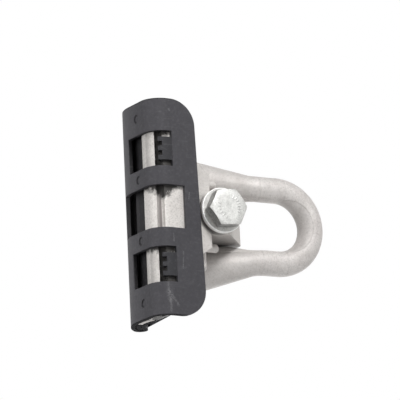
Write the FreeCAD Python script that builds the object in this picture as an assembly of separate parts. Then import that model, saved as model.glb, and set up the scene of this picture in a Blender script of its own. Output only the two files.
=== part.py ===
import FreeCAD
import Part
import math
import os

# Suspension clamp for a bundled overhead cable.
# X runs along the cable, Y along the clamping bolt with the bolt head on the minus side, Z up to the loop.
# The origin is on the cable's axis, half way along the clamp. Sizes are in millimetres and degrees.

# Cable channel and the layers round it
channel_radius = 13.6
liner_wall = 2.2
liner_fit = 0.2
lip_thickness = 2.8
clamp_length = 116.0
near_wall_standoff = 10.4
near_face_height = -9.0
wall_lean = 3.0
floor_slope = 6.0
corner_radius = 10.0
toe_angle = 48.0

# Front liner
liner_drop = 5.6
liner_edge_rise = 1.6
liner_end_radius = 14.0
end_slope = 0.35
window_length = 19.0
window_pitch = 31.0
window_rise = 2.8
window_angle = -3.0
middle_window_length = 23.0
middle_window_rise = 9.3
middle_window_angle = 21.0
window_play = 0.3
tab_length = 12.4
tab_wall = 1.7
tab_root = 1.5
tab_angle = 16.0
tooth_count = 3
tooth_length = 2.4
tooth_tip = 30.0
tooth_depth = 1.6
tooth_hook = 20.0
mark_radius = 2.3
mark_depth = 0.4
mark_offset = 7.8
outer_mark_place = 49.5
inner_mark_place = 16.4

# Front jaw
jaw_drop = 2.0
jaw_end_angle = 12.0
saddle_half_top = 20.0
saddle_half_foot = 26.0
saddle_drop = 5.5
saddle_depth = 11.5
lip_edge = 10.3
groove_start = 14.0
groove_end = 45.0
groove_depth = 2.2
boss_radius = 12.0
boss_thickness = 5.0
heel_half_width = 10.9
heel_depth = 31.6
heel_ramp_rise = 7.0
heel_rise = 23.3
heel_crest_length = 4.4
heel_round = 1.5

# Loop and legs
rod_radius = 6.8
eye_half_width = 13.3
loop_rise = 43.4
knee_drop = 11.8
leg_bend_radius = 22.0
leg_lean_back = 0.38
leg_lean_out = 0.147
leg_growth = 0.15
leg_foot_drop = 3.6

# Rear jaw, cast in one with the loop
rear_end_gap = 7.4
rear_end_slope = 0.545
rear_wall_standoff = 7.9
rear_top_rise = 0.4
rear_low_angle = 69.0
rear_high_angle = 130.0
rear_foot_thickness = 4.0
rear_foot_rise = 3.5
rear_edge_round = 2.5
rear_lip = 1.5
roof_thickness = 3.6
roof_half_length = 28.0
roof_front = -11.6
roof_start = 125.0
web_front_gap = 0.4
web_rise = 15.0
web_round = 4.0
rib_reach = 40.0
rib_rise = 9.0
post_radius = 1.9
post_gap = 3.2
post_front = -9.0
post_rise = 3.5
rear_flange = 1.5
rear_flange_height = 5.4
rear_flange_step = 2.0
rear_liner_gap = 0.6

# Bolt, washer and nut
bolt_clearance = 7.4
bolt_radius = 6.0
bolt_length = 70.0
bolt_point = 1.2
head_height = 7.5
hex_across = 19.0
head_chamfer = 30.0
head_turn = 34.5
nut_height = 10.8
nut_recess_depth = 6.0
nut_recess_play = 0.15
washer_radius = 12.0
washer_thickness = 2.5
washer_play = 0.6
bolt_running_fit = 0.07
thread_fit = 0.05
web_hole_play = 0.5

# How far joined forms run into each other, and cutters past the faces that they open
bite = 2.0
boss_bite = 0.5

# Sizes worked out from those above
jaw_radius = channel_radius + liner_wall + liner_fit
jaw_inset = liner_wall + liner_fit
outer_radius = jaw_radius + lip_thickness + jaw_inset
half_length = clamp_length / 2
near_face = channel_radius + near_wall_standoff
rear_face = channel_radius + rear_wall_standoff
bolt_height = channel_radius + bolt_clearance
liner_top = channel_radius - liner_drop
jaw_top = liner_top - jaw_drop
saddle_top = bolt_height - saddle_drop
saddle_back = -near_face + saddle_depth
rear_half_length = half_length - rear_end_gap
rear_top = channel_radius + rear_top_rise
heel_back = -near_face + heel_depth
heel_ramp_foot = bolt_height + heel_ramp_rise
heel_crest = bolt_height + heel_rise
heel_crest_start = heel_back - heel_crest_length
rear_foot_radius = jaw_radius + rear_foot_thickness
rear_flange_radius = channel_radius + rear_flange_height
web_top = bolt_height + web_rise
rib_top = bolt_height + rib_rise
post_place = eye_half_width + post_gap
post_top = bolt_height + post_rise
loop_radius = eye_half_width + rod_radius
loop_centre = bolt_height + loop_rise
leg_knee = loop_centre - knee_drop
leg_foot = channel_radius - leg_foot_drop
washer_back = -near_face + washer_thickness
boss_back = washer_back + boss_thickness
web_front = heel_back + web_front_gap
lean = math.radians(wall_lean)
slope = math.radians(floor_slope)
near_out = (-math.cos(lean), math.sin(lean))
floor_out = (-math.sin(slope), -math.cos(slope))
near_reach = near_face * math.cos(lean) + near_face_height * math.sin(lean)


def crossing(normal_a, reach_a, normal_b, reach_b):
    """Point where two lines meet, each given by its normal and its distance from the cable axis."""
    det = normal_a[0] * normal_b[1] - normal_a[1] * normal_b[0]
    y = (reach_a * normal_b[1] - reach_b * normal_a[1]) / det
    z = (normal_a[0] * reach_b - normal_b[0] * reach_a) / det
    return y, z


corner = crossing(near_out, near_reach - corner_radius, floor_out, outer_radius - corner_radius)
window_top = corner[1] + window_rise
middle_window_top = corner[1] + middle_window_rise


def at(point, x=0.0):
    """A point of the cross-section, given as (y, z), in space."""
    return FreeCAD.Vector(x, point[0], point[1])


def line(a, b):
    return Part.LineSegment(at(a), at(b)).toShape()


def arc(a, middle, b):
    return Part.Arc(at(a), at(middle), at(b)).toShape()


def polar(radius, angle):
    """Point at an angle round the cable, from 0 straight down, positive towards the rear jaw."""
    turn = math.radians(angle)
    return radius * math.sin(turn), -radius * math.cos(turn)


def ring_arc(radius, start, end):
    return arc(polar(radius, start), polar(radius, (start + end) / 2), polar(radius, end))


def corner_point(radius, angle):
    """Point round the lower near corner, from 0 at the near wall to 90 at the floor."""
    turn = math.radians(angle)
    return corner[0] - radius * math.cos(turn), corner[1] - radius * math.sin(turn)


def off_corner(direction, distance):
    return corner[0] + direction[0] * distance, corner[1] + direction[1] * distance


def near_point(inset, height):
    """Point of the near wall's outline, moved in by inset, at a height."""
    return (near_reach - inset - height * near_out[1]) / near_out[0], height


def skin(inset, top, end):
    """Outline from the near wall's top, round the corner and under the cable, moved in by inset."""
    radius = corner_radius - inset
    ring = outer_radius - inset
    blend = (near_out[0] + floor_out[0], near_out[1] + floor_out[1])
    size = math.hypot(blend[0], blend[1])
    middle = (blend[0] / size, blend[1] / size)
    wall_end = off_corner(near_out, radius)
    floor_start = off_corner(floor_out, radius)
    return [
        line(near_point(inset, top), wall_end),
        arc(wall_end, off_corner(middle, radius), floor_start),
        line(floor_start, polar(ring, -floor_slope)),
        ring_arc(ring, -floor_slope, end),
    ]


def face(edges):
    wire = Part.Wire(Part.__sortEdges__(edges))
    return Part.Face(wire)


def rounded_face(points):
    """Face in the YZ plane through points given as (y, z, radius), each corner rounded by its radius."""
    edges = []
    ends = []
    for index, (y, z, radius) in enumerate(points):
        point = at((y, z))
        if radius == 0:
            ends.append((point, point))
            continue
        after = points[(index + 1) % len(points)]
        back = (at(points[index - 1][:2]) - point).normalize()
        onward = (at(after[:2]) - point).normalize()
        half = back.getAngle(onward) / 2
        middle = point + (back + onward).normalize() * (radius / math.sin(half) - radius)
        setback = radius / math.tan(half)
        ends.append((point + back * setback, point + onward * setback))
        edges.append(Part.Arc(ends[-1][0], middle, ends[-1][1]).toShape())
    for index, (start, _) in enumerate(ends):
        edges.append(Part.LineSegment(ends[index - 1][1], start).toShape())
    return face(edges)


def along(section, x_start, x_end):
    """Section drawn at X = 0, drawn out from one X to another."""
    moved = section.copy()
    moved.translate(FreeCAD.Vector(x_start, 0, 0))
    return moved.extrude(FreeCAD.Vector(x_end - x_start, 0, 0))


def both_ways(section, half):
    return along(section, -half, half)


def block(x_start, x_end, y_start, y_end, z_start, z_end):
    corner_low = FreeCAD.Vector(x_start, y_start, z_start)
    return Part.makeBox(x_end - x_start, y_end - y_start, z_end - z_start, corner_low)


def rod_y(radius, y_start, y_end, x=0.0, z=bolt_height):
    return Part.makeCylinder(radius, y_end - y_start, FreeCAD.Vector(x, y_start, z), FreeCAD.Vector(0, 1, 0))


def rod_z(radius, z_start, z_end, x, y):
    return Part.makeCylinder(radius, z_end - z_start, FreeCAD.Vector(x, y, z_start))


def hexagon_y(across, y_start, y_end, first=0.0):
    """Hexagonal bar along the bolt's axis, with its first corner at an angle from the cable's direction."""
    reach = across / math.sqrt(3)
    points = []
    for step in range(7):
        turn = math.radians(60 * step + first)
        points.append(FreeCAD.Vector(reach * math.cos(turn), y_start, bolt_height + reach * math.sin(turn)))
    return Part.Face(Part.makePolygon(points)).extrude(FreeCAD.Vector(0, y_end - y_start, 0))


def mirrored(shape):
    return shape.mirror(FreeCAD.Vector(0, 0, 0), FreeCAD.Vector(1, 0, 0))


def pair(shape):
    return [shape, mirrored(shape)]


def height_angle(radius, height):
    """Angle on the near side at which a circle round the cable reaches a height."""
    return -90.0 - math.degrees(math.asin(height / radius))


def ring_section(inner, outer, start, end):
    return face([
        ring_arc(inner, start, end),
        ring_arc(outer, start, end),
        line(polar(inner, start), polar(outer, start)),
        line(polar(inner, end), polar(outer, end)),
    ])


def corner_section(inner, outer, start, end):
    middle = (start + end) / 2
    return face([
        arc(corner_point(inner, start), corner_point(inner, middle), corner_point(inner, end)),
        arc(corner_point(outer, start), corner_point(outer, middle), corner_point(outer, end)),
        line(corner_point(inner, start), corner_point(outer, start)),
        line(corner_point(inner, end), corner_point(outer, end)),
    ])


def tongue_section(inset_out, inset_in, top, end):
    """Strip of the near wall between two insets, from a height down to an angle round the corner."""
    edges = []
    for inset in (inset_out, inset_in):
        radius = corner_radius - inset
        start = off_corner(near_out, radius)
        middle = corner_point(radius, (end - wall_lean) / 2)
        edges.append(line(near_point(inset, top), start))
        edges.append(arc(start, middle, corner_point(radius, end)))
    edges.append(line(near_point(inset_out, top), near_point(inset_in, top)))
    edges.append(line(corner_point(corner_radius - inset_out, end), corner_point(corner_radius - inset_in, end)))
    return face(edges)


def wall_section(inset_out, inset_in, top, end):
    """Strip of the outer wall between two insets, from a height on the near side to an angle."""
    ring_out = outer_radius - inset_out
    ring_in = outer_radius - inset_in
    edges = skin(inset_out, top, end) + skin(inset_in, top, end)
    edges.append(line(near_point(inset_out, top), near_point(inset_in, top)))
    edges.append(line(polar(ring_out, end), polar(ring_in, end)))
    return face(edges)


def hairpin_section(inset, ring, top):
    """Area from the outline to a circle round the cable, closed at the toe by a half round."""
    outer = outer_radius - inset
    half = (outer - ring) / 2
    centre = polar(outer - half, toe_angle)
    turn = math.radians(toe_angle)
    tip = (centre[0] + half * math.cos(turn), centre[1] + half * math.sin(turn))
    inner_top = height_angle(ring, top)
    edges = skin(inset, top, toe_angle)
    edges.append(arc(polar(outer, toe_angle), tip, polar(ring, toe_angle)))
    edges.append(ring_arc(ring, toe_angle, inner_top))
    edges.append(line(polar(ring, inner_top), near_point(inset, top)))
    return face(edges)


def jaw_section(top, end):
    """Front jaw's share of the section, between the liner's two walls."""
    inner_top = height_angle(jaw_radius, top)
    edges = skin(jaw_inset, top, end)
    edges.append(line(polar(outer_radius - jaw_inset, end), polar(jaw_radius, end)))
    edges.append(ring_arc(jaw_radius, end, inner_top))
    edges.append(line(polar(jaw_radius, inner_top), near_point(jaw_inset, top)))
    return face(edges)


def flat_prism(points, start, end, axis):
    """Outline in the XZ plane drawn out along Y, or in the XY plane drawn out along Z."""
    if axis == "y":
        corners = [FreeCAD.Vector(a, start, b) for a, b in points]
        reach = FreeCAD.Vector(0, end - start, 0)
    else:
        corners = [FreeCAD.Vector(a, b, start) for a, b in points]
        reach = FreeCAD.Vector(0, 0, end - start)
    return Part.Face(Part.makePolygon(corners + corners[:1])).extrude(reach)


def past_end(reach, slope, height):
    """Everything past a slanted end that is at reach at a height, and draws in by slope upwards."""
    low = reach + slope * (height + near_face)
    high = reach + slope * (height - near_face)
    outline = [
        (low, -near_face), (high, near_face),
        (low + clamp_length, near_face), (low + clamp_length, -near_face),
    ]
    return flat_prism(outline, -near_face, near_face, "y")


def edge_height(x):
    """Height of the near wall's upper edge, which rises a little from one end to the other."""
    return liner_top + liner_edge_rise * x / half_length


def round_corner(side, y_start, y_end):
    """Cutter that rounds the near wall's upper corner at the end on that side."""
    back = half_length - liner_end_radius
    low = edge_height(side * back) - liner_end_radius
    ends = sorted((side * back, side * clamp_length))
    cutter = block(ends[0], ends[1], y_start, y_end, low, low + clamp_length)
    return cutter.cut(rod_y(liner_end_radius, y_start, y_end, side * back, low))


def sloping_top(y_start, y_end):
    """Everything above the near wall's upper edge."""
    outline = [
        (-clamp_length, edge_height(-clamp_length)), (clamp_length, edge_height(clamp_length)),
        (clamp_length, clamp_length), (-clamp_length, clamp_length),
    ]
    return flat_prism(outline, y_start, y_end, "y")


def snap_tab(centre):
    """Tongue cut from the wall's edge, curved round the corner, ending in a comb of hooked teeth."""
    inner = corner_radius - liner_wall
    start = centre - tab_length / 2
    tongue = tongue_section(liner_wall - tab_wall, liner_wall, window_top + tab_root, tab_angle)
    solid = along(tongue, start, start + tab_length)
    step = (tab_length - tooth_length) / (tooth_count - 1)
    tooth = corner_section(inner, inner + tab_wall, tab_angle - bite, tooth_tip)
    hook = corner_section(inner - tooth_depth, inner + tab_wall / 2, tooth_hook, tooth_tip)
    for index in range(tooth_count):
        tooth_start = start + index * step
        for section in (tooth, hook):
            solid = solid.fuse(along(section, tooth_start, tooth_start + tooth_length))
    return solid


def front_liner():
    shell = hairpin_section(0.0, channel_radius, liner_top + liner_edge_rise)
    slot = hairpin_section(liner_wall, channel_radius + liner_wall, liner_top + liner_edge_rise + bite)
    solid = both_ways(shell.cut(slot), half_length)
    side_line = -channel_radius - liner_wall - lip_thickness / 2
    solid = solid.cut(sloping_top(-clamp_length, 0.0))
    inner_side = block(0.0, clamp_length, side_line, 0.0, -channel_radius, near_face)
    for side in (-1, 1):
        solid = solid.cut(round_corner(side, -clamp_length, side_line))
    solid = solid.cut(pair(past_end(half_length, end_slope, -channel_radius).common(inner_side)))
    outside = -half_length
    past_wall = liner_wall + window_play
    side_window = wall_section(outside, past_wall, window_top, window_angle)
    middle_window = wall_section(outside, past_wall, middle_window_top, middle_window_angle)
    solid = solid.cut(both_ways(middle_window, middle_window_length / 2))
    for centre in (-window_pitch, window_pitch):
        opening = along(side_window, centre - window_length / 2, centre + window_length / 2)
        solid = solid.cut(opening)
        solid = solid.fuse(snap_tab(centre))
    outward = FreeCAD.Vector(0, floor_out[0], floor_out[1])
    along_floor = FreeCAD.Vector(0, floor_out[1], -floor_out[0])
    seat = outward * (outer_radius - mark_depth) + along_floor * mark_offset
    for place in (-outer_mark_place, -inner_mark_place, inner_mark_place, outer_mark_place):
        spot = FreeCAD.Vector(place, seat.y, seat.z)
        solid = solid.cut(Part.makeCylinder(mark_radius, 2 * mark_depth, spot, outward))
    return solid.removeSplitter()


def leg_direction():
    """Way that a leg runs below its knee, leaning out and back on its way down."""
    direction = FreeCAD.Vector(leg_lean_out, leg_lean_back, -1)
    return direction.normalize()


def leg():
    """One leg: round bar that bends at the knee and grows into a thick root, flush with the rear face."""
    down = FreeCAD.Vector(0, 0, -1)
    direction = leg_direction()
    bend = down.getAngle(direction)
    tangent = leg_bend_radius * math.tan(bend / 2)
    knee = FreeCAD.Vector(loop_radius, 0, leg_knee)
    start = knee - down * tangent
    end = knee + direction * tangent
    axis = down.cross(direction).normalize()
    sideways = axis.cross(down)
    disc = Part.Face(Part.Wire(Part.Circle(start, down, rod_radius).toShape()))
    knee_piece = disc.revolve(start + sideways * leg_bend_radius, axis, math.degrees(bend))
    upright = rod_z(rod_radius, start.z, loop_centre, loop_radius, 0.0)
    length = (end.z - leg_foot) / -direction.z
    root_radius = rod_radius + leg_growth * (end.z - leg_foot)
    root = Part.makeCone(rod_radius, root_radius, length, end, direction)
    trim = block(-clamp_length, clamp_length, rear_face, clamp_length, -clamp_length, clamp_length)
    inside = block(-clamp_length, eye_half_width, -clamp_length, clamp_length, 0, end.z)
    return upright.fuse([knee_piece, root.cut(trim).cut(inside)])


def loop_ring():
    """Half ring at the top of the loop."""
    centre = FreeCAD.Vector(loop_radius, 0, loop_centre)
    disc = Part.Face(Part.Wire(Part.Circle(centre, FreeCAD.Vector(0, 0, 1), rod_radius).toShape()))
    return disc.revolve(FreeCAD.Vector(0, 0, loop_centre), FreeCAD.Vector(0, -1, 0), 180)


def channel(radius):
    start = FreeCAD.Vector(-half_length - bite, 0, 0)
    return Part.makeCylinder(radius, clamp_length + 2 * bite, start, FreeCAD.Vector(1, 0, 0))


def bail_body():
    """Casting of the loop, the legs and the rear jaw."""
    inside_foot = polar(jaw_radius - bite, rear_low_angle)
    foot = polar(rear_foot_radius, rear_low_angle)
    inside_head = polar(jaw_radius - bite, rear_high_angle)
    head = polar(jaw_radius, rear_high_angle)
    wall = rounded_face([
        inside_foot + (0,), foot + (0,),
        (rear_face, foot[1] + rear_foot_rise, rear_edge_round), (rear_face, rear_top, rear_edge_round),
        (head[0] + rear_lip, rear_top, 0), head + (0,), inside_head + (0,),
    ])
    solid = both_ways(wall, clamp_length)
    solid = solid.cut(pair(past_end(rear_half_length, rear_end_slope, 0.0)))
    roof_radius = jaw_radius + roof_thickness
    roof_end = 180 + math.degrees(math.asin(-roof_front / jaw_radius))
    roof_ring = ring_section(jaw_radius, roof_radius, roof_start, roof_end)
    roof = along(roof_ring, eye_half_width, roof_half_length)
    roof = roof.cut(block(0, clamp_length, -clamp_length, roof_front, 0, clamp_length))
    web = both_ways(rounded_face([
        (web_front, 0.0, 0), (rear_face, 0.0, 0), (rear_face, web_top, web_round), (web_front, web_top, 0),
    ]), eye_half_width + bite / 2)
    rib = [
        (-eye_half_width, rib_top), (eye_half_width, rib_top),
        (rib_reach, rear_top - rear_edge_round), (-rib_reach, rear_top - rear_edge_round),
    ]
    ribs = flat_prism(rib, jaw_radius, rear_face, "y")
    post_foot = math.sqrt(jaw_radius ** 2 - post_front ** 2)
    post = Part.makeCylinder(
        post_radius, post_top - post_radius - post_foot, FreeCAD.Vector(post_place, post_front, post_foot))
    dome = Part.makeSphere(post_radius, FreeCAD.Vector(post_place, post_front, post_top - post_radius))
    parts = pair(leg()) + [loop_ring()] + pair(roof) + pair(post.fuse(dome)) + [web, ribs]
    solid = solid.fuse(parts)
    solid = solid.cut(channel(jaw_radius))
    solid = solid.cut(rod_y(bolt_radius + web_hole_play, 0.0, near_face))
    recess = hexagon_y(hex_across + 2 * nut_recess_play, rear_face - nut_recess_depth, rear_face + bite)
    return solid.cut(recess).removeSplitter()


def front_jaw():
    """Casting that the bolt pulls against the cable, with its lip, rail, groove and heel."""
    solid = both_ways(jaw_section(jaw_top, jaw_end_angle), half_length)
    lip_end = -channel_radius / 2
    solid = solid.cut(block(-clamp_length, clamp_length, -lip_edge, near_face, -clamp_length, lip_end))
    solid = solid.cut(pair(past_end(half_length, end_slope, -channel_radius)))
    ring_in = corner_radius - jaw_inset - groove_depth
    groove = corner_section(ring_in, corner_radius, groove_start, groove_end)
    solid = solid.cut(both_ways(groove, clamp_length))
    foot = jaw_top - 2 * bite
    outline = [
        (-saddle_half_foot, foot), (-saddle_half_foot, jaw_top), (-saddle_half_top, saddle_top),
        (saddle_half_top, saddle_top), (saddle_half_foot, jaw_top), (saddle_half_foot, foot),
    ]
    plate = both_ways(Part.Face(Part.makePolygon([
        at(near_point(jaw_inset, 0.0)), at(near_point(jaw_inset, saddle_top)),
        at((saddle_back, saddle_top)), at((saddle_back, 0.0)), at(near_point(jaw_inset, 0.0)),
    ])), saddle_half_foot)
    plate = plate.common(flat_prism(outline, -near_face, 0.0, "y"))
    boss = rod_y(boss_radius, washer_back, boss_back)
    boss_foot = liner_top + 2 * liner_fit
    boss = boss.cut(block(-boss_radius, boss_radius, -near_face, boss_back, 0.0, boss_foot))
    heel_front = boss_back - boss_bite
    heel = both_ways(rounded_face([
        (saddle_back - bite, 0.0, 0), (saddle_back - bite, saddle_top, 0), (heel_front, saddle_top, 0),
        (heel_front, heel_ramp_foot, heel_round), (heel_crest_start, heel_crest, heel_round),
        (heel_back, heel_crest, heel_round), (heel_back, 0.0, 0),
    ]), heel_half_width)
    solid = solid.fuse([plate, boss, heel])
    solid = solid.cut(channel(jaw_radius))
    solid = solid.cut(rod_y(bolt_radius + bolt_running_fit, -near_face - bite, near_face))
    return solid.removeSplitter()


def rear_liner():
    low = rear_low_angle - math.degrees((liner_wall - rear_liner_gap) / jaw_radius)
    ring = ring_section(channel_radius, channel_radius + liner_wall, low, rear_high_angle)
    flange_low = low + rear_flange_step
    flange_high = rear_high_angle - rear_flange_step
    flange = ring_section(channel_radius, rear_flange_radius, flange_low, flange_high)
    past_wall = past_end(rear_half_length + liner_fit / 2, rear_end_slope, 0.0)
    solid = both_ways(ring, half_length)
    for plate in pair(along(flange, 0.0, half_length).common(past_wall)):
        solid = solid.fuse(plate)
    solid = solid.cut(pair(past_end(rear_half_length + rear_flange, rear_end_slope, 0.0)))
    return solid.removeSplitter()


def clamp_bolt():
    head_back = -near_face
    head_top = head_back - head_height
    head = hexagon_y(hex_across, head_top, head_back, head_turn)
    reach = hex_across / math.sqrt(3)
    drop = (reach - hex_across / 2) * math.tan(math.radians(head_chamfer))
    axis = FreeCAD.Vector(0, 1, 0)
    cone = Part.makeCone(hex_across / 2, reach, drop, FreeCAD.Vector(0, head_top, bolt_height), axis)
    barrel = rod_y(reach, head_top + drop, head_back)
    head = head.common(cone.fuse(barrel))
    tip = head_back + bolt_length
    shank = rod_y(bolt_radius, head_back, tip - bolt_point)
    point_start = FreeCAD.Vector(0, tip - bolt_point, bolt_height)
    point = Part.makeCone(bolt_radius, bolt_radius - bolt_point, bolt_point, point_start, axis)
    return head.fuse([shank, point]).removeSplitter()


def flat_washer():
    ring = rod_y(washer_radius, -near_face, washer_back)
    return ring.cut(rod_y(bolt_radius + washer_play, -near_face - bite, washer_back + bite))


def hex_nut():
    front = rear_face - nut_recess_depth
    nut = hexagon_y(hex_across, front, front + nut_height)
    return nut.cut(rod_y(bolt_radius + thread_fit, front - bite, front + nut_height + bite))


os.makedirs("parts", exist_ok=True)
pieces = {
    "bail_body": bail_body,
    "rear_liner": rear_liner,
    "front_jaw": front_jaw,
    "front_liner": front_liner,
    "clamp_bolt": clamp_bolt,
    "flat_washer": flat_washer,
    "hex_nut": hex_nut,
}
for name, make in pieces.items():
    solid = make()
    solid.exportStep("parts/" + name + ".step")
    print(name, len(solid.Solids), round(solid.Volume), solid.isValid())
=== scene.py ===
import bpy
import bmesh
import math
from mathutils import Matrix, Vector


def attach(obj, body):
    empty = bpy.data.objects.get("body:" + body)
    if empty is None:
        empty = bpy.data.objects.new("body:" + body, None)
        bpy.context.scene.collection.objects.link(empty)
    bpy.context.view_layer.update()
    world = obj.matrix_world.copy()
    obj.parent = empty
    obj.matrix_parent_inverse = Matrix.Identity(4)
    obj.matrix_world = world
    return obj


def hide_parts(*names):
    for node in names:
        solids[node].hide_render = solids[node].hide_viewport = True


# Suspension clamp for a bundled overhead cable. Metres, in the model's own frame: X along the
# cable, Y along the clamping bolt with its head on the minus side, Z up to the loop. The pieces are
# drawn in millimetres, and their finishes follow places in millimetres too.

MM = 0.001
to_metres = Matrix.Scale(MM, 4)
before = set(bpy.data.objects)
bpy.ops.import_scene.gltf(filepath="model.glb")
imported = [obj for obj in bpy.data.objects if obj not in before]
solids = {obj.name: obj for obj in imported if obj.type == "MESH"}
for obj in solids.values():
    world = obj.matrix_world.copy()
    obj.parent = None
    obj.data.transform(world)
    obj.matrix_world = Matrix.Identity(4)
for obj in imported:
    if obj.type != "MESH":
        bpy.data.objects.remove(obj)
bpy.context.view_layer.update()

# Bolt, washer and nut, repeated from the solids in millimetres and degrees
bolt_height = 21.0
bolt_radius = 6.0
bolt_length = 70.0
head_back = -24.0
head_height = 7.5
head_turn = 34.5
hex_across = 19.0
hex_bevel = 30.0
tip_bevel = 1.2
washer_radius = 12.0
nut_front = 15.5
nut_height = 10.8

# What the solids leave out: the thread, and the raised ticks on the head's face
thread_pitch = 1.75
thread_depth = 0.95
thread_start = 10.0
thread_runout = 1.2
crest_play = 0.06
ridge_share = 0.46
tick_height = 0.26
tick_ring = 5.9
tick_size = (1.7, 0.55)
tick_arcs = ((20.0, 6, 17.0), (205.0, 7, 15.0))

# Loop, legs and posts of the casting behind, repeated from the solids
loop_centre = 64.4
loop_inside = 13.3
rod_radius = 6.8
bend_height = 8.3
bend_foot = (20.69, 1.52, 48.6)
leg_lean = (0.147, 0.38)
leg_growth = 0.15
root_growth = 0.2
post_place = (17.3, -9.4)
post_radius = 2.05
post_foot = 13.6
post_top = 24.6

# Front jaw and its liner
skin_radius = 21.2
corner_place = (-14.0, -9.9)
corner_radius = 10.0
heel_half_width = 10.9
heel_play = 0.15
mark_places = (16.4, 49.5)
mark_across = -9.9
end_gap = (15.85, 18.35)
end_place = 57.8
lip_start = 52.0
toe_start = 55.0
lip_angles = (-31.0, 6.5)
toe_angles = (6.6, 47.0)

# Scratches on the near wall: start and end as X and Z, and width
scratches = (
    ((41.3, -12.6), (46.0, -12.1), 1.1), ((46.0, -12.0), (50.0, -11.6), 2.0),
    ((50.0, -11.6), (56.0, -11.4), 0.9), ((47.6, -10.6), (52.8, -7.4), 1.1),
    ((-52.2, -8.0), (-51.6, -7.9), 0.9), ((14.9, -8.4), (18.7, -8.3), 0.6),
    ((-8.0, 2.0), (-4.0, 1.4), 0.5), ((24.0, -3.0), (33.0, -3.6), 0.5),
)

# Points round a turned piece, and the angle from which an edge stays sharp
turned_points = 120
sharp_angle = 30.0

# Colours as they are seen on a screen, from 0 to 255
# Some of these colours are painted shade, shadows and highlights rather than the parts' own colour.
palette = {
    "loop_pale": (220, 216, 213), "loop_dull": (208, 203, 200),
    "jaw_pale": (224, 220, 216), "jaw_dull": (212, 208, 204),
    "end_pale": (218, 214, 210), "end_dull": (205, 201, 197),
    "casting_pit": (146, 141, 137), "casting_grime": (160, 154, 149),
    "casting_rubbed": (236, 233, 230), "casting_seam": (128, 123, 119),
    "blast_dull": (168, 163, 160), "blast_bright": (240, 237, 235),
    "leg_root": (192, 188, 184), "bend_inner_shade": (178, 174, 171), "saddle": (194, 190, 186),
    "washer_shadow": (52, 48, 46), "heel_shade": (46, 43, 41),
    "groove_shade": (126, 119, 118), "window_shadow": (34, 31, 29),
    "plastic": (72, 71, 75), "plastic_patch": (66, 65, 69),
    "inside_near_shade": (36, 35, 37), "inside_rear_shade": (74, 73, 75),
    "plastic_edge_sheen": (112, 111, 114), "mark_shadow": (30, 30, 32), "snap_tab": (46, 46, 49),
    "plastic_streak": (126, 125, 128), "mottle_bright": (112, 111, 114),
    "mottle_dark": (44, 44, 46), "plastic_rubbed": (122, 121, 124),
    "plastic_scratch": (150, 149, 151), "liner_end_shade": (30, 30, 32),
    "zinc_pale": (226, 226, 223), "zinc_cloud": (196, 196, 193),
    "washer_pale": (222, 221, 218), "washer_cloud": (200, 199, 196),
    "flats_shade_pale": (148, 147, 145), "flats_shade_cloud": (108, 107, 105),
    "zinc_crystal": (156, 157, 154), "zinc_streak": (128, 128, 126),
    "zinc_rubbed_glint": (244, 244, 242), "washer_rim_highlight": (253, 253, 251),
    "floor": (240, 240, 240), "backdrop": (250, 250, 250),
}


def tint(name):
    """Colour of the palette, turned into the shader's linear values."""
    def linear(value):
        value = value / 255
        return value / 12.92 if value <= 0.04045 else ((value + 0.055) / 1.055) ** 2.4
    red, green, blue = palette[name]
    return linear(red), linear(green), linear(blue), 1.0


def node(tree, kind, **settings):
    made = tree.nodes.new(kind)
    for name, value in settings.items():
        setattr(made, name, value)
    return made


def feed(tree, made, **inputs):
    """Set sockets to values or other sockets, by name with underscores for spaces, or as n0, n1."""
    for name, value in inputs.items():
        key = int(name[1:]) if name[0] == "n" and name[1:].isdigit() else name.replace("_", " ")
        if isinstance(value, bpy.types.NodeSocket):
            tree.links.new(value, made.inputs[key])
        else:
            made.inputs[key].default_value = value
    return made


def sums(tree, operation, first, second=0.0, clamp=False):
    made = node(tree, "ShaderNodeMath", operation=operation, use_clamp=clamp)
    feed(tree, made, n0=first, n1=second)
    return made.outputs[0]


def product(tree, *values):
    made = values[0]
    for value in values[1:]:
        made = sums(tree, "MULTIPLY", made, value)
    return made


def largest(tree, *values):
    made = values[0]
    for value in values[1:]:
        made = sums(tree, "MAXIMUM", made, value)
    return made


def distance_from(tree, value, place):
    return sums(tree, "ABSOLUTE", sums(tree, "SUBTRACT", value, place))


def reach(tree, across, up):
    """Length of the slanting side over two others."""
    square = sums(tree, "ADD", product(tree, across, across), product(tree, up, up))
    return sums(tree, "SQRT", square)


def between(tree, value, low, high, low_out, high_out):
    """Value moved from one range to another, held at its ends."""
    made = node(tree, "ShaderNodeMapRange")
    feed(tree, made, Value=value, From_Min=low, From_Max=high, To_Min=low_out, To_Max=high_out)
    return made.outputs[0]


def rising(tree, value, low, high):
    """Mask from 0 at the low value to 1 at the high one."""
    return between(tree, value, low, high, 0.0, 1.0)


def falling(tree, value, low, high):
    """Mask from 1 at the low value to 0 at the high one."""
    return between(tree, value, low, high, 1.0, 0.0)


def noise(tree, place, scale, detail, roughness):
    made = node(tree, "ShaderNodeTexNoise")
    feed(tree, made, Vector=place, Scale=scale, Detail=detail, Roughness=roughness)
    return made.outputs[0]


def object_place(tree):
    return node(tree, "ShaderNodeTexCoord").outputs["Object"]


def millimetres(tree):
    """Place on the object in millimetres, as X, Y and Z."""
    larger = node(tree, "ShaderNodeVectorMath", operation="SCALE")
    feed(tree, larger, n0=object_place(tree), Scale=1 / MM)
    parts = node(tree, "ShaderNodeSeparateXYZ")
    return tuple(feed(tree, parts, n0=larger.outputs[0]).outputs)


def stretched(tree, place, shares):
    """Place drawn out along an axis, for streaks."""
    made = node(tree, "ShaderNodeMapping")
    return feed(tree, made, Vector=place, Scale=shares).outputs[0]


def blend_colours(tree, mask, first, second):
    made = node(tree, "ShaderNodeMix", data_type="RGBA")
    feed(tree, made, n0=mask, n6=first, n7=second)
    return made.outputs[2]


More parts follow.
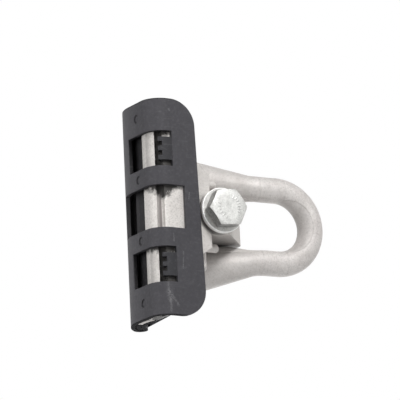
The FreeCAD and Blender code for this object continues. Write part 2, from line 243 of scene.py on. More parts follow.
def layered(tree, tone, *layers):
    """Tone with others laid over it in turn, each as its mask, its share and its colour."""
    for mask, share, other in layers:
        other = tint(other) if isinstance(other, str) else other
        tone = blend_colours(tree, product(tree, mask, share), tone, other)
    return tone


def bumped(tree, height, normal, distance, strength):
    made = node(tree, "ShaderNodeBump")
    feed(tree, made, Height=height, Normal=normal, Distance=distance, Strength=strength)
    return made.outputs[0]


def shader_group(name, inputs, outputs):
    """Empty shader group with number inputs (name and value) and outputs (name and kind)."""
    tree = bpy.data.node_groups.new(name, "ShaderNodeTree")
    for label, value in inputs.items():
        made = tree.interface.new_socket(label, in_out="INPUT", socket_type="NodeSocketFloat")
        made.default_value = value
    for label, kind in outputs.items():
        tree.interface.new_socket(label, in_out="OUTPUT", socket_type="NodeSocket" + kind)
    return tree, tree.nodes.new("NodeGroupInput").outputs, tree.nodes.new("NodeGroupOutput")


def surface_grain():
    """Fine pits with wider patches, for castings, plating and moulded plastic alike."""
    tree, sizes, out = shader_group(
        "surface_grain", {"Grain Size": 0.5, "Patch Size": 9.0},
        {"Height": "Float", "Patch": "Float"})
    place = object_place(tree)
    fine_scale = sums(tree, "DIVIDE", 1 / MM, sizes["Grain Size"])
    wide_scale = sums(tree, "DIVIDE", 1 / MM, sizes["Patch Size"])
    fine = noise(tree, place, fine_scale, detail=4.0, roughness=0.6)
    wide = noise(tree, place, wide_scale, detail=3.0, roughness=0.55)
    feed(tree, out, Height=fine, Patch=rising(tree, wide, 0.3, 0.7))
    return tree


def edge_wear():
    """Soft edges, and a broken mask along them where handling has rubbed the surface."""
    tree, sizes, out = shader_group(
        "edge_wear", {"Radius": 0.0006, "Break Size": 2.0},
        {"Mask": "Float", "Normal": "Vector"})
    soft = node(tree, "ShaderNodeBevel", samples=6)
    feed(tree, soft, Radius=sizes["Radius"])
    flat = node(tree, "ShaderNodeNewGeometry").outputs["Normal"]
    turn = node(tree, "ShaderNodeVectorMath", operation="DOT_PRODUCT")
    feed(tree, turn, n0=soft.outputs[0], n1=flat)
    edge = falling(tree, turn.outputs["Value"], 0.86, 0.99)
    break_scale = sums(tree, "DIVIDE", 1 / MM, sizes["Break Size"])
    broken = noise(tree, object_place(tree), break_scale, detail=4.0, roughness=0.6)
    mask = product(tree, edge, rising(tree, broken, 0.35, 0.6))
    feed(tree, out, Mask=mask, Normal=soft.outputs[0])
    return tree


def scratch_line():
    """Thin broken scratch between two places on the near wall, given by X and Z."""
    tree, sizes, out = shader_group(
        "scratch_line",
        {"Start X": 0.0, "Start Z": 0.0, "End X": 0.01, "End Z": 0.0, "Width": 0.0004},
        {"Mask": "Float"})
    near_wall = (-0.018, -0.016)
    place = object_place(tree)
    parts = node(tree, "ShaderNodeSeparateXYZ")
    x, y, z = feed(tree, parts, n0=place).outputs

    def flat_point(across, up):
        made = node(tree, "ShaderNodeCombineXYZ")
        return feed(tree, made, n0=across, n2=up).outputs[0]

    def vectors(operation, first, second, output=0):
        made = node(tree, "ShaderNodeVectorMath", operation=operation)
        return feed(tree, made, n0=first, n1=second).outputs[output]

    start = flat_point(sizes["Start X"], sizes["Start Z"])
    run = vectors("SUBTRACT", flat_point(sizes["End X"], sizes["End Z"]), start)
    away = vectors("SUBTRACT", flat_point(x, z), start)
    along_run = vectors("DOT_PRODUCT", away, run, 1)
    share = sums(tree, "DIVIDE", along_run, vectors("DOT_PRODUCT", run, run, 1), clamp=True)
    nearest = node(tree, "ShaderNodeVectorMath", operation="SCALE")
    feed(tree, nearest, n0=run, Scale=share)
    gap = vectors("DISTANCE", away, nearest.outputs[0], 1)
    line = falling(tree, sums(tree, "DIVIDE", gap, sizes["Width"]), 0.2, 1.0)
    broken = rising(tree, noise(tree, place, 1500.0, detail=2.0, roughness=0.5), 0.38, 0.55)
    feed(tree, out, Mask=product(tree, line, falling(tree, y, *near_wall), broken))
    return tree


def distance_from_line():
    """Distance in millimetres from a line along X at a given Y and Z, also in millimetres."""
    tree, sizes, out = shader_group(
        "distance_from_line", {"Line Y": 0.0, "Line Z": 0.0}, {"Distance": "Float"})
    _, y, z = millimetres(tree)
    across = sums(tree, "SUBTRACT", y, sizes["Line Y"])
    up = sums(tree, "SUBTRACT", z, sizes["Line Z"])
    feed(tree, out, Distance=reach(tree, across, up))
    return tree


groups = {
    "grain": surface_grain(), "wear": edge_wear(),
    "scratch": scratch_line(), "distance": distance_from_line(),
}


def place_group(tree, key, **inputs):
    made = node(tree, "ShaderNodeGroup", node_tree=groups[key])
    return feed(tree, made, **inputs).outputs


def from_line(tree, across=0.0, up=0.0):
    return place_group(tree, "distance", Line_Y=across, Line_Z=up)["Distance"]


def new_material(name, slot_colour):
    material = bpy.data.materials.new(name)
    material.use_nodes = True
    material.diffuse_color = slot_colour
    tree = material.node_tree
    return material, tree, tree.nodes["Principled BSDF"]


def bend_inner_shade(tree, x, z):
    """Band of painted shade round the inside of the loop's bend, where the hook bears, widest at
    the top.
    """
    top_width = 5.6
    up = sums(tree, "SUBTRACT", z, loop_centre)
    away = reach(tree, x, up)
    width = sums(tree, "DIVIDE", product(tree, up, top_width), away)
    border = sums(tree, "ADD", width, loop_inside)
    return falling(tree, sums(tree, "SUBTRACT", away, border), -0.35, 0.15)


def window_shadow(tree, x, y, z, place):
    """Painted shadows on the front jaw seen through the windows, and the groove's painted shade."""
    band_shadows = ((-11.8, 7.4), (-40.8, 4.4), (21.2, 7.0))
    band_shadow_middle = -11.4
    band_shadow_narrowing = 0.85
    tab_feet = (-23.0, 39.0)
    groove = falling(tree, from_line(tree, *corner_place), 7.2, 7.6)
    beside_tabs = product(tree, groove, rising(tree, sums(tree, "ABSOLUTE", x), 15.0, 18.0))
    shade = product(tree, groove, rising(tree, z, -14.8, -12.7), falling(tree, z, -12.3, -11.9))
    ragged = noise(tree, place, 420.0, detail=4.0, roughness=0.6)
    ragged = between(tree, ragged, 0.3, 0.7, -1.6, 1.6)
    sideways = product(tree, distance_from(tree, z, band_shadow_middle), band_shadow_narrowing)
    # Black painted shadows: beside the tabs, below each window's upper end and at the tabs' feet.
    masks = [beside_tabs]
    for top, length in band_shadows:
        down = sums(tree, "SUBTRACT", x, top)
        spread = sums(tree, "ADD", sums(tree, "ADD", down, sideways), ragged)
        below_top = rising(tree, x, top - 2.0, top - 1.6)
        masks.append(product(tree, below_top, falling(tree, spread, length - 1.6, length + 1.2)))
    near_foot = largest(tree, *(
        falling(tree, distance_from(tree, x, foot), 2.7, 3.1) for foot in tab_feet))
    masks.append(product(
        tree, near_foot, falling(tree, y, -19.0, -18.4),
        rising(tree, z, -13.5, -12.5), falling(tree, z, -5.0, -4.0)))
    return largest(tree, *masks), shade


def washer_shadow(tree, x, y, z, place):
    """Painted shadow round the washer, most on its lower side away from the loop."""
    up = sums(tree, "SUBTRACT", z, bolt_height)
    away = reach(tree, x, up)
    lean = sums(tree, "SUBTRACT", product(tree, x, 0.55), product(tree, up, 0.85))
    side = rising(tree, sums(tree, "DIVIDE", lean, away), 0.1, 0.85)
    ragged = noise(tree, place, 300.0, detail=3.0, roughness=0.5)
    ragged = between(tree, ragged, 0.3, 0.7, -0.3, 0.3)
    edge = falling(tree, sums(tree, "ADD", away, ragged), washer_radius + 0.6, washer_radius + 2.4)
    return product(tree, side, edge, falling(tree, y, -18.0, -17.0))


def heel_shade(tree, x, y, z):
    """Painted shade on the heel's sides, deeper towards the rear jaw."""
    along = sums(tree, "ABSOLUTE", x)
    side = rising(tree, along, heel_half_width - 0.35, heel_half_width - 0.1)
    faint = between(tree, y, -17.0, 3.0, 0.0, 0.8)
    deeper = largest(tree, faint, rising(tree, y, -1.0, 4.5))
    return product(tree, side, deeper, between(tree, z, 38.0, 44.5, 1.0, 0.6))


def cast_aluminium(name, pale, dull, seam_heights=(), seat=False, groove=False):
    """Blasted aluminium casting: fine pits, cloudy patches, rubbed edges and faint seams."""
    material, tree, shader = new_material(name, tint(pale))
    grain = place_group(tree, "grain", Grain_Size=0.7, Patch_Size=10.0)
    wear = place_group(tree, "wear", Radius=0.0008, Break_Size=2.6)
    place = object_place(tree)
    x, y, z = millimetres(tree)
    lumps = noise(tree, place, 260.0, detail=3.0, roughness=0.5)
    blasted = noise(tree, place, 700.0, detail=4.0, roughness=0.7)
    grime = noise(tree, place, 75.0, detail=5.0, roughness=0.62)
    tone = layered(
        tree, blend_colours(tree, grain["Patch"], tint(dull), tint(pale)),
        (falling(tree, grain["Height"], 0.36, 0.48), 0.35, "casting_pit"),
        (falling(tree, blasted, 0.36, 0.5), 0.24, "blast_dull"),
        (rising(tree, blasted, 0.54, 0.68), 0.26, "blast_bright"),
        (rising(tree, grime, 0.54, 0.7), 0.28, "casting_grime"),
        (wear["Mask"], 0.55, "casting_rubbed"))
    height = sums(tree, "ADD", product(tree, grain["Height"], 0.4), product(tree, lumps, 0.6))
    for level in seam_heights:
        seam = falling(tree, distance_from(tree, z, level), 0.1, 0.7)
        tone = layered(tree, tone, (seam, 0.12, "casting_seam"))
        height = sums(tree, "SUBTRACT", height, product(tree, seam, 0.3))
    if seat:
        # Painted shade inside the loop's bend, with a step bumped in at its border.
        band = bend_inner_shade(tree, x, z)
        tone = layered(
            tree, tone, (falling(tree, z, 42.0, 54.0), 0.38, "leg_root"), (band, 0.3, "bend_inner_shade"))
        height = sums(tree, "SUBTRACT", height, product(tree, band, 0.8))
    if groove:
        shadow_mask, shade = window_shadow(tree, x, y, z, place)
        tone = layered(
            tree, tone,
            (rising(tree, z, 0.0, 5.0), 0.45, "saddle"),
            # Painted shadow round the washer.
            (washer_shadow(tree, x, y, z, place), 0.85, "washer_shadow"),
            # Painted shade on the heel's sides.
            (heel_shade(tree, x, y, z), 0.86, "heel_shade"),
            # Painted shade in the groove, then painted shadows seen through the windows.
            (shade, 0.9, "groove_shade"),
            (shadow_mask, 0.96, "window_shadow"))
    rough = between(tree, grain["Patch"], 0.0, 1.0, 0.64, 0.54)
    rough = sums(tree, "SUBTRACT", rough, product(tree, wear["Mask"], 0.12))
    normal = bumped(tree, height, wear["Normal"], distance=0.0003, strength=0.9)
    feed(tree, shader, Base_Color=tone, Roughness=rough, Normal=normal, Metallic=0.3)
    return material


def mark_shadows(tree, x, y, z):
    """Painted shadow, a dark crescent on the toe's side of each round mark."""
    along = sums(tree, "ABSOLUTE", x)
    nearest = sums(tree, "MINIMUM", *(distance_from(tree, along, place) for place in mark_places))
    across = sums(tree, "SUBTRACT", y, mark_across)
    away = reach(tree, nearest, across)
    ring = product(tree, rising(tree, away, 1.3, 1.8), falling(tree, away, 2.35, 2.6))
    return product(tree, ring, rising(tree, across, -0.4, 0.8), falling(tree, z, -18.5, -18.0))


def scratch_masks(tree):
    for start, end, width in scratches:
        yield place_group(
            tree, "scratch", Start_X=start[0] * MM, Start_Z=start[1] * MM,
            End_X=end[0] * MM, End_Z=end[1] * MM, Width=width * MM)["Mask"]


def dark_plastic():
    """Matte moulded plastic, mottled dark grey, painted shade inside and at the ends, near wall
    scuffed pale.
    """
    material, tree, shader = new_material("dark_plastic", tint("plastic"))
    grain = place_group(tree, "grain", Grain_Size=0.4, Patch_Size=7.0)
    wear = place_group(tree, "wear", Radius=0.0004, Break_Size=1.6)
    place = object_place(tree)
    x, y, z = millimetres(tree)
    from_cable = from_line(tree)
    # Painted shade inside the liner below the cable, darkest on the near side.
    inside = falling(tree, from_cable, skin_radius - 0.6, skin_radius - 0.25)
    under_cable = falling(tree, z, -9.0, -8.0)
    to_the_rear = rising(tree, y, -1.0, 4.0)
    inside_shade = blend_colours(tree, to_the_rear, tint("inside_near_shade"), tint("inside_rear_shade"))
    skin = rising(tree, from_cable, skin_radius - 0.3, skin_radius - 0.1)
    from_corner = from_line(tree, *corner_place)
    tabs = falling(tree, from_corner, corner_radius - 0.3, corner_radius - 0.1)
    upright = stretched(tree, place, (1.0, 1.0, 0.09))
    streaks = noise(tree, upright, 700.0, detail=3.0, roughness=0.6)
    mottle = noise(tree, place, 620.0, detail=4.0, roughness=0.65)
    # The liner's end faces: painted shade, and fully rough.
    ends = rising(tree, sums(tree, "ABSOLUTE", x), end_place - 0.3, end_place - 0.1)
    tone = layered(
        tree, blend_colours(tree, grain["Patch"], tint("plastic_patch"), tint("plastic")),
        # Painted shade inside the liner.
        (product(tree, inside, under_cable), 0.97, inside_shade),
        # Painted sheen on the outer skin, from below the cable round to the rear.
        (product(tree, rising(tree, y, -11.0, 0.0), skin), 0.3, "plastic_edge_sheen"),
        # Painted shadow in each round mark.
        (mark_shadows(tree, x, y, z), 0.75, "mark_shadow"),
        (tabs, 0.85, "snap_tab"),
        (rising(tree, streaks, 0.62, 0.74), 0.14, "plastic_streak"),
        (rising(tree, mottle, 0.52, 0.66), 0.13, "mottle_bright"),
        (falling(tree, mottle, 0.34, 0.46), 0.16, "mottle_dark"),
        (wear["Mask"], 0.22, "plastic_rubbed"),
        *((mask, 0.24, "plastic_scratch") for mask in scratch_masks(tree)),
        # Painted shade on the liner's ends.
        (ends, 0.85, "liner_end_shade"))
    height = product(tree, grain["Height"], sums(tree, "SUBTRACT", 1.0, ends))
    rough = largest(tree, between(tree, grain["Patch"], 0.0, 1.0, 0.56, 0.66), ends)
    normal = bumped(tree, height, wear["Normal"], distance=0.00008, strength=0.7)
    feed(tree, shader, Base_Color=tone, Roughness=rough, Normal=normal, Specular_IOR_Level=0.25)
    return material


def washer_rim_highlight(tree):
    """Outer edge of the washer, where a highlight is painted."""
    x, _, z = millimetres(tree)
    away = reach(tree, x, sums(tree, "SUBTRACT", z, bolt_height))
    return rising(tree, away, washer_radius - 0.5, washer_radius - 0.2)


def zinc_steel(name, pale, cloud, patch_size, rim=False):
    """Pale grey zinc coated steel, crystal spots, drawn streaks, edges rubbed and painted
    highlight.
    """
    material, tree, shader = new_material(name, tint(pale))
    grain = place_group(tree, "grain", Grain_Size=0.5, Patch_Size=patch_size)
    wear = place_group(tree, "wear", Radius=0.0005, Break_Size=3.0)
    place = object_place(tree)
    cells = node(tree, "ShaderNodeTexVoronoi")
    feed(tree, cells, Vector=place, Scale=850.0)
    drawn = stretched(tree, place, (1.0, 0.12, 1.0))
    streaks = noise(tree, drawn, 1300.0, detail=3.0, roughness=0.6)
    tone = layered(
        tree, blend_colours(tree, grain["Patch"], tint(cloud), tint(pale)),
        (falling(tree, cells.outputs["Distance"], 0.1, 0.32), 0.5, "zinc_crystal"),
        (rising(tree, streaks, 0.45, 0.62), 0.22, "zinc_streak"),
        # Edges partly rubbed bright, partly a painted highlight.
        (wear["Mask"], 0.8, "zinc_rubbed_glint"))
    # Painted highlight round the washer's rim.
    if rim:
        tone = layered(tree, tone, (washer_rim_highlight(tree), 0.9, "washer_rim_highlight"))
    rough = between(tree, grain["Patch"], 0.0, 1.0, 0.5, 0.4)
    normal = bumped(tree, grain["Height"], wear["Normal"], distance=0.0001, strength=0.8)
    feed(tree, shader, Base_Color=tone, Roughness=rough, Normal=normal, Metallic=0.6)
    return material


finishes = {
    "loop_casting": cast_aluminium(
        "loop_casting", "loop_pale", "loop_dull", seam_heights=(52.9, 67.5), seat=True),
    "jaw_casting": cast_aluminium("jaw_casting", "jaw_pale", "jaw_dull", groove=True),
    "end_casting": cast_aluminium("end_casting", "end_pale", "end_dull"),
    "dark_plastic": dark_plastic(),
    "zinc_steel": zinc_steel("zinc_steel", "zinc_pale", "zinc_cloud", patch_size=3.0),
    "zinc_washer": zinc_steel(
        "zinc_washer", "washer_pale", "washer_cloud", patch_size=3.0, rim=True),
    # Darker copy of the zinc finish for the hexagons' sides: painted shade.
    "zinc_flats_shaded": zinc_steel("zinc_flats_shaded", "flats_shade_pale", "flats_shade_cloud", patch_size=1.4),
}
node_finish = {
    "bail_body": "loop_casting", "front_jaw": "jaw_casting",
    "front_liner": "dark_plastic", "rear_liner": "dark_plastic",
    "clamp_bolt": "zinc_steel", "flat_washer": "zinc_washer", "hex_nut": "zinc_steel",
}
for name, finish in node_finish.items():
    for index in range(len(solids[name].data.materials)):
        solids[name].data.materials[index] = finishes[finish]


def on_bolt_axis():
    """Turns a piece drawn upwards about Z to lie along the bolt from the back of its head."""
    turn = Matrix(((1, 0, 0, 0), (0, 0, 1, head_back), (0, -1, 0, bolt_height), (0, 0, 0, 1)))
    return to_metres @ turn


def linked(name, mesh):
    thing = bpy.data.objects.new(name, mesh)
    bpy.context.scene.collection.objects.link(thing)
    return thing


def smooth_piece(name, shape, finish, turn=to_metres, side_finish=None):
    """Object from a bmesh in millimetres, smooth but for its edges, sides in a second finish."""
    bmesh.ops.recalc_face_normals(shape, faces=shape.faces)
    if side_finish:
        for face in shape.faces:
            face.material_index = int(abs(face.normal.z) < 0.3)
    mesh = bpy.data.meshes.new(name)
    shape.to_mesh(mesh)
    shape.free()
    mesh.transform(turn)
    mesh.polygons.foreach_set("use_smooth", [True] * len(mesh.polygons))
    mesh.set_sharp_from_angle(angle=math.radians(sharp_angle))
    mesh.materials.append(finishes[finish])
    if side_finish:
        mesh.materials.append(finishes[side_finish])
    return linked(name, mesh)


def hex_reach(turn, across, first=0.0):
    """Distance from the axis to a hexagon's side, with its first corner at an angle."""
    step = math.radians(60)
    return across / 2 / math.cos((turn - math.radians(first)) % step - step / 2)


def lathe(shape, rings, bore=False):
    """Rings of (x, y, z) points joined in turn, with closed ends or, for a bore, into a ring."""
    made = [[shape.verts.new(point) for point in ring] for ring in rings]
    count = len(made[0])
    pairs = list(zip(made, made[1:]))
    if bore:
        pairs.append((made[-1], made[0]))
    for low, high in pairs:
        for index in range(count):
            after = (index + 1) % count
            shape.faces.new((low[index], low[after], high[after], high[index]))
    if not bore:
        shape.faces.new(list(reversed(made[0])))
        shape.faces.new(made[-1])


def ring_points(height, away, count=turned_points):
    """Points round Z at a height and a distance, each a number or a function of the angle."""
    points = []
    for index in range(count):
        turn = 2 * math.pi * index / count
        radius = away(turn) if callable(away) else away
        level = height(turn) if callable(height) else height
        points.append((radius * math.cos(turn), radius * math.sin(turn), level))
    return points


def raised_tick(shape, place, turn, low, high):
    """Small raised dash, drawn in at the top, at a place on the head's face."""
    length, width = tick_size
    top_draw = 0.12
    along = Vector((math.cos(turn), math.sin(turn)))
    across = Vector((-along.y, along.x))
    rings = []
    for level, draw in ((low, 0.0), (high, top_draw)):
        ring = []
        for a, b in ((-1, -1), (1, -1), (1, 1), (-1, 1)):
            spot = Vector(place) + along * a * (length / 2 - draw) + across * b * (width / 2 - draw)
            ring.append((spot.x, spot.y, level))
        rings.append(ring)
    lathe(shape, rings)


def bolt_head():
    """Hexagon head with its bevelled round face, raised ticks in two arcs, and a washer face."""
    face = tick_height - head_height
    face_radius = hex_across / 2 * 0.985
    face_rise = 0.08
    side_play = 0.08
    edge_draw = 0.12
    neck = -0.5
    seat = -0.02
    slope = math.tan(math.radians(hex_bevel))

    def side(draw=0.0):
        return lambda turn: hex_reach(turn, hex_across - side_play, -head_turn) - draw

    def bevel_edge(raise_by):
        return lambda turn: face + (side()(turn) - face_radius) * slope + raise_by

    shape = bmesh.new()
    lathe(shape, [
        ring_points(face, face_radius - 3.0),
        ring_points(face, face_radius - 0.3),
        ring_points(face + face_rise, face_radius),
        ring_points(bevel_edge(-0.04), side(edge_draw)),
        ring_points(bevel_edge(edge_draw), side()),
        ring_points(neck - 0.3, side()),
        ring_points(neck, side(0.3)),
        ring_points(neck, hex_across / 2 - 0.5),
        ring_points(seat, hex_across / 2 - 0.6),
        ring_points(seat, bolt_radius - 1.0),
    ])
    for first, count, step in tick_arcs:
        for index in range(count):
            turn = math.radians(first + index * step)
            spot = (tick_ring * math.cos(turn), tick_ring * math.sin(turn))
            raised_tick(shape, spot, turn, face + face_rise, -head_height)
    return shape


def nut_body():
    """Hexagon nut with both ends bevelled and the mouth of its bore opened out."""
    face_radius = hex_across / 2 * 0.96
    side_play = 0.04
    end_play = 0.02
    edge_draw = 0.1
    slope = math.tan(math.radians(hex_bevel))

    def side(turn):
        return hex_reach(turn, hex_across - side_play)

    def bevel_edge(level, way):
        return lambda turn: level + way * ((side(turn) - face_radius) * slope + edge_draw)

    low = nut_front - head_back + end_play
    high = low + nut_height - 2 * end_play
    bore = bolt_radius + 0.03
    shape = bmesh.new()
    lathe(shape, [
        ring_points(low, bore + 0.7),
        ring_points(low, face_radius - 0.2),
        ring_points(bevel_edge(low, 1), side),
        ring_points(bevel_edge(high, -1), side),
        ring_points(high, face_radius - 0.2),
        ring_points(high, bore + 0.8),
        ring_points(high - 0.8, bore),
        ring_points(low + 0.7, bore),
    ], bore=True)
    return shape


def bolt_shank():
    """Plain shank, then the thread's core, with a bevelled tip."""
    core = bolt_radius - thread_depth
    shank = bolt_radius - 0.05
    start = thread_start - head_back
    core_bevel = 0.4
    shape = bmesh.new()
    lathe(shape, [
        ring_points(-0.05, shank),
        ring_points(start - thread_runout, shank),
        ring_points(start, core),
        ring_points(bolt_length - core_bevel, core),
        ring_points(bolt_length, core - core_bevel),
    ])
    return shape


def thread_tree():
    """Helical ridge that winds up the bolt's core."""
    tree = bpy.data.node_groups.new("bolt_thread", "GeometryNodeTree")
    face = tree.interface
    face.new_socket("Geometry", in_out="OUTPUT", socket_type="NodeSocketGeometry")
    for label, value in (("Core Radius", 5.0), ("Pitch", 1.75), ("Turns", 20.0), ("Depth", 0.9)):
        made = face.new_socket(label, in_out="INPUT", socket_type="NodeSocketFloat")
        made.default_value = value
    face.new_socket("Finish", in_out="INPUT", socket_type="NodeSocketMaterial")
    sizes = tree.nodes.new("NodeGroupInput").outputs
    out = tree.nodes.new("NodeGroupOutput")
    spiral = node(tree, "GeometryNodeCurveSpiral")
    feed(tree, spiral, Resolution=40, Rotations=sizes["Turns"], Start_Radius=sizes["Core Radius"],
         End_Radius=sizes["Core Radius"], Height=product(tree, sizes["Pitch"], sizes["Turns"]))
    upright = node(tree, "GeometryNodeSetCurveNormal", mode="Z_UP")
    feed(tree, upright, Curve=spiral.outputs[0])
    section = node(tree, "GeometryNodeCurvePrimitiveQuadrilateral", mode="KITE")
    half_ridge = product(tree, sizes["Pitch"], ridge_share)
    feed(tree, section, Width=product(tree, sizes["Depth"], 2.0),
         Bottom_Height=half_ridge, Top_Height=half_ridge)
    ridge = node(tree, "GeometryNodeCurveToMesh")
    feed(tree, ridge, Curve=upright.outputs[0], Profile_Curve=section.outputs[0], Fill_Caps=True)
    real = node(tree, "GeometryNodeRealizeInstances")
    feed(tree, real, Geometry=ridge.outputs[0])
    painted = node(tree, "GeometryNodeSetMaterial")
    feed(tree, painted, Geometry=real.outputs[0], Material=sizes["Finish"])
    feed(tree, out, Geometry=painted.outputs[0])
    return tree


def grown(name, tree, values):
    """Plain mesh of what a geometry tree makes from its named values."""
    holder = linked(name + "_holder", bpy.data.meshes.new(name + "_holder"))
    modifier = holder.modifiers.new(name, "NODES")
    modifier.node_group = tree
    for item in tree.interface.items_tree:
        if item.in_out == "INPUT" and item.name in values:
            modifier[item.identifier] = values[item.name]
    made = holder.evaluated_get(bpy.context.evaluated_depsgraph_get())
    mesh = bpy.data.meshes.new_from_object(made)
    holder.modifiers.clear()
    bpy.data.objects.remove(holder)
    mesh.name = name
    return mesh


def clamping_bolt():
    """Bolt with its thread, in place of the plain one."""
    head = smooth_piece("bolt_head", bolt_head(), "zinc_steel", on_bolt_axis(), "zinc_flats_shaded")
    shank = smooth_piece("bolt_shank", bolt_shank(), "zinc_steel", on_bolt_axis())
    start = thread_start - head_back
    turns = (bolt_length - tip_bevel - start) / thread_pitch
    mesh = grown("bolt_thread", thread_tree(), {
        "Core Radius": bolt_radius - thread_depth, "Pitch": thread_pitch, "Turns": turns,
        "Depth": thread_depth - crest_play, "Finish": finishes["zinc_steel"]})
    mesh.transform(Matrix.Translation((0, 0, start)))
    mesh.transform(on_bolt_axis())
    return [head, shank, linked("bolt_thread", mesh)]


def leg_middle(drop):
    """X and Y of a leg's middle at a drop below the foot of its bend (negative is above it)."""
    if drop >= 0:
        return bend_foot[0] + leg_lean[0] * drop, bend_foot[1] + leg_lean[1] * drop
    upright = loop_inside + rod_radius
    share = (1 + drop / bend_height) ** 2
    return upright + (bend_foot[0] - upright) * share, bend_foot[1] * share


def leg_root(way):
    """Fuller inner side of a leg from its bend to its root, on one side of the clamp."""
    levels = 22
    level_step = 1.7
    points = 48
    first_drop = 0.6 - bend_height
    first_draw = 0.15
    rings = []
    for step in range(levels):
        drop = step * level_step + first_drop
        below_bend = max(drop, 0.0)
        middle = leg_middle(drop)
        radius = rod_radius + leg_growth * below_bend
        inner = max(loop_inside - root_growth * below_bend, heel_half_width + heel_play)
        inward = middle[0] - inner - (first_draw if step == 0 else 0.0)
        ring = []
        for index in range(points):
            turn = 2 * math.pi * index / points
            side = inward if math.cos(turn) < 0 else radius * 0.6
            ring.append((way * (middle[0] + side * math.cos(turn)),
                         middle[1] + radius * 0.72 * math.sin(turn), bend_foot[2] - drop))
        rings.append(ring)
    shape = bmesh.new()
    lathe(shape, rings)
    return shape


def locating_post(way):
    """Round-topped post beside the leg, on the rear jaw's roof."""
    x_place, y_place = post_place
    profile = [
        (post_foot, post_radius + 0.9), (post_foot + 0.5, post_radius + 0.25),
        (post_foot + 1.1, post_radius), (post_top - post_radius, post_radius),
    ]
    for step in range(1, 8):
        turn = math.radians(step * 12.0)
        profile.append((post_top - post_radius + post_radius * math.sin(turn),
                        post_radius * math.cos(turn)))
    shape = bmesh.new()
    lathe(shape, [
        [(way * (x_place + x), y_place + y, z) for x, y, z in ring_points(level, radius, 40)]
        for level, radius in profile])
    return shape


def arc_block(angles, radii, low, high, way):
    """Block between two radii and two angles round the cable (0 is below it, 90 at the rear)."""
    start, end = angles
    inner, outer = radii
    steps = 24
    shape = bmesh.new()
    arcs = []
    for radius, place in ((inner, low), (outer, low), (outer, high), (inner, high)):
        arc = []
        for index in range(steps + 1):
            turn = math.radians(start + (end - start) * index / steps)
            point = (way * place, radius * math.sin(turn), -radius * math.cos(turn))
            arc.append(shape.verts.new(point))
        arcs.append(arc)
    for one, two in zip(arcs, arcs[1:] + arcs[:1]):
        for index in range(steps):
            shape.faces.new((one[index], one[index + 1], two[index + 1], two[index]))
    shape.faces.new([arc[0] for arc in arcs])
    shape.faces.new([arc[-1] for arc in reversed(arcs)])
    return shape


def end_pieces():
    """Each end of the front jaw: its lip between the liner's walls, and the liner's closed toe."""
    made = []
    for side, way in (("right", 1), ("left", -1)):
        lip = arc_block(lip_angles, end_gap, lip_start, end_place, way)
        made.append((smooth_piece("jaw_lip_" + side, lip, "end_casting"), "cast_aluminium"))
        toe = arc_block(toe_angles, end_gap, toe_start, end_place, way)
        made.append((smooth_piece("toe_end_" + side, toe, "dark_plastic"), "dark_plastic"))
    return made


def place_camera():
    """Camera that looks up at the near wall from below, with the loop to the right."""
    distance = 2.0
    lens_for_each_metre = 172.0
    aim_right, aim_down = 0.01728, 0.00965
    forward = Vector((-0.2622, 0.861, 0.4358)).normalized()
    right = Vector((0.0443, -0.4404, 0.8967))
    down = forward.cross(right).normalized()
    right = down.cross(forward).normalized()
    spot = right * aim_right - down * aim_down - forward * distance
    data = bpy.data.cameras.new("photo_camera")
    data.sensor_width = 36.0
    data.lens = lens_for_each_metre * distance
    data.clip_end = 60.0
    camera = linked("photo_camera", data)
    turn = Matrix((right, -down, -forward)).transposed().to_4x4()
    camera.matrix_world = Matrix.Translation(spot) @ turn
    bpy.context.scene.camera = camera
    return right, down, forward


def lamp(name, direction, distance, size, power):
    """Square soft lamp that looks at the clamp from a direction."""
    clamp_middle = Vector((0, 0, 0.03))
    data = bpy.data.lights.new(name, "AREA")
    data.size = size
    data.energy = power
    thing = linked(name, data)
    away = Vector(direction).normalized()
    thing.location = clamp_middle + away * distance
    thing.rotation_euler = away.to_track_quat("Z", "Y").to_euler()


def seen_directly(tree):
    """1 for rays from the camera, and for those that metal or glass sends on."""
    path = node(tree, "ShaderNodeLightPath").outputs
    return largest(tree, path["Is Camera Ray"], path["Is Glossy Ray"], path["Is Transmission Ray"])


def studio_air():
    """White where it is seen, and a soft even light elsewhere."""
    white = (1, 1, 1, 1)
    soft_strength = 0.42
    world = bpy.data.worlds.new("studio_air")
    world.use_nodes = True
    bpy.context.scene.world = world
    tree = world.node_tree
    soft = tree.nodes["Background"]
    feed(tree, soft, Color=white, Strength=soft_strength)
    bright = node(tree, "ShaderNodeBackground")
    feed(tree, bright, Color=white, Strength=1.0)
    chosen = node(tree, "ShaderNodeMixShader")
    feed(tree, chosen, n0=seen_directly(tree), n1=soft.outputs[0], n2=bright.outputs[0])
    feed(tree, tree.nodes["World Output"], Surface=chosen.outputs[0])


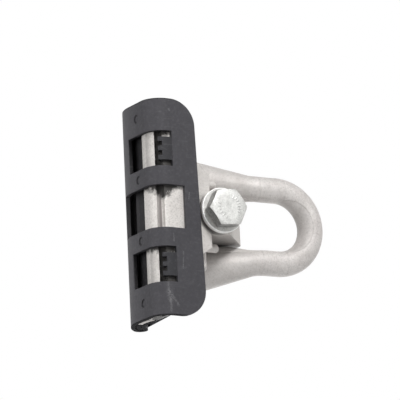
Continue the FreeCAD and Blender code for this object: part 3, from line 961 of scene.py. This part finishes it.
def pale_surface(name, glow_share):
    """Matte surface that partly glows white where it is seen."""
    material, tree, shader = new_material(name, tint(name))
    feed(tree, shader, Base_Color=tint(name), Roughness=0.9)
    glow = node(tree, "ShaderNodeEmission")
    feed(tree, glow, Color=(1, 1, 1, 1), Strength=1.0)
    mixed = node(tree, "ShaderNodeMixShader")
    share = product(tree, seen_directly(tree), glow_share)
    feed(tree, mixed, n0=share, n1=shader.outputs[0], n2=glow.outputs[0])
    feed(tree, tree.nodes["Material Output"], Surface=mixed.outputs[0])
    return material


def stage_plane(name, corners, glow_share):
    mesh = bpy.data.meshes.new(name)
    mesh.from_pydata(corners, [], [(0, 1, 2, 3)])
    mesh.materials.append(pale_surface(name, glow_share))
    thing = linked(name, mesh)


def studio(right, down, forward):
    bpy.context.scene.view_settings.view_transform = "Standard"
    studio_air()
    lamp("key", -forward * 0.65 - down * 0.85 + right * 0.4, distance=1.1, size=0.28, power=7.0)
    lamp("fill", -forward * 0.7 - down * 0.25 - right * 1.0, distance=1.3, size=0.6, power=5.6)
    lamp("under", -forward * 0.5 + down * 1.0 + right * 0.1, distance=1.3, size=0.8, power=1.4)
    lamp("rear_fill", (0.3, 0.9, 0.7), distance=1.3, size=1.0, power=3.4)
    low, far, wide, high = -1.3, 3.2, 7.0, 6.0
    floor = [(-wide, -wide, low), (wide, -wide, low), (wide, far, low), (-wide, far, low)]
    backdrop = [(-wide, far, low), (wide, far, low), (wide, far, high), (-wide, far, high)]
    stage_plane("floor", floor, glow_share=0.9)
    stage_plane("backdrop", backdrop, glow_share=1.0)


views = place_camera()
studio(*views)
for piece in clamping_bolt():
    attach(piece, "bolt")
    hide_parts("clamp_bolt")
for piece, slot in end_pieces():
    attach(piece, "front")
for side, way in (("right", 1), ("left", -1)):
    root = smooth_piece("leg_root_" + side, leg_root(way), "loop_casting")
    post = smooth_piece("locating_post_" + side, locating_post(way), "end_casting")
    for piece in (root, post):
        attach(piece, "body")
nut = smooth_piece("bevelled_nut", nut_body(), "zinc_steel", on_bolt_axis(), "zinc_flats_shaded")
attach(nut, "body")
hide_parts("hex_nut")
